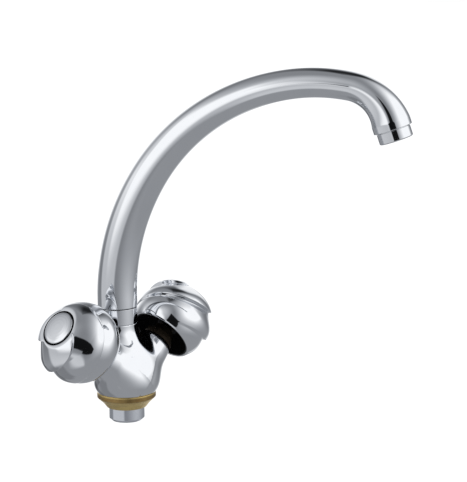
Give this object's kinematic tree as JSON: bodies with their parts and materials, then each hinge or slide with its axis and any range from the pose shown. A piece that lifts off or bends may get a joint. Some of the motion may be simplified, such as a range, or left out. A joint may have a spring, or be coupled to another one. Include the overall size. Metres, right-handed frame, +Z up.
{
  "type": "mixer tap",
  "caption": "Chromed kitchen mixer tap with a Y-shaped body, swirled ball knobs in a V, a tall swivelling swan-neck spout and a flanged clamp nut on its mounting shank.",
  "frame": {"origin": "on the axis of the mounting shank, in the plane where the body's base meets the deck", "axes": "+Z up along the shank axis, +X towards the user, the hot arm leans to -Y and the cold arm to +Y; at rest the spout is swung 29 degrees from +X towards +Y, as in the picture"},
  "size_m": [0.2048, 0.1837, 0.2534],
  "materials": {
    "chrome": "mirror-bright chromium plate",
    "nickel": "bright turned and plated",
    "yellow_brass": "yellow passivated, slightly dull",
    "plain_brass": "machined",
    "steel": "plain stainless",
    "black_rubber": "matt",
    "dark_plastic": "matt, low friction",
    "white_plastic": "matt moulded",
    "ceramic": "lapped and polished ceramic",
    "fibre": "pressed red fibre"
  },
  "bodies": {
    "tap_body": {"mixer_body": "chrome", "mounting_shank": "nickel", "shank_gasket": "fibre", "base_seal": "black_rubber", "clamp_nut": "yellow_brass", "spout_nut": "chrome", "spout_slip_ring": "dark_plastic", "hot_seat_seal": "black_rubber", "hot_fixed_disc": "ceramic", "hot_bonnet_washer": "fibre", "hot_bonnet": "plain_brass", "cold_seat_seal": "black_rubber", "cold_fixed_disc": "ceramic", "cold_bonnet_washer": "fibre", "cold_bonnet": "plain_brass"},
    "spout": {"spout_tube": "chrome", "spout_stem": "plain_brass", "spout_o_rings": "black_rubber", "spout_retaining_ring": "steel", "aerator_shell": "chrome", "aerator_washer": "black_rubber", "aerator_insert": "white_plastic", "aerator_screens": "steel"},
    "hot_handle": {"hot_knob": "chrome", "hot_knob_cap": "chrome", "hot_knob_insert": "plain_brass", "hot_knob_screw": "steel", "hot_spindle": "plain_brass", "hot_thrust_washer": "white_plastic", "hot_spindle_o_rings": "black_rubber", "hot_spindle_clip": "steel", "hot_moving_disc": "ceramic"},
    "cold_handle": {"cold_knob": "chrome", "cold_knob_cap": "chrome", "cold_knob_insert": "plain_brass", "cold_knob_screw": "steel", "cold_spindle": "plain_brass", "cold_thrust_washer": "white_plastic", "cold_spindle_o_rings": "black_rubber", "cold_spindle_clip": "steel", "cold_moving_disc": "ceramic"}
  },
  "joints": [
    {"name": "spout_swivel", "type": "hinge", "parent": "tap_body", "child": "spout", "pos_m": [-0.0073, 0, 0.0608], "axis": [0, 0, 1], "continuous": true},
    {"name": "hot_knob_turn", "type": "hinge", "parent": "tap_body", "child": "hot_handle", "pos_m": [0.002, -0.04921, 0.04605], "axis": [0, -0.8028, 0.5962], "range_deg": [0, 180]},
    {"name": "cold_knob_turn", "type": "hinge", "parent": "tap_body", "child": "cold_handle", "pos_m": [0.002, 0.04921, 0.04605], "axis": [0, 0.8028, 0.5962], "range_deg": [0, 180]}
  ]
}
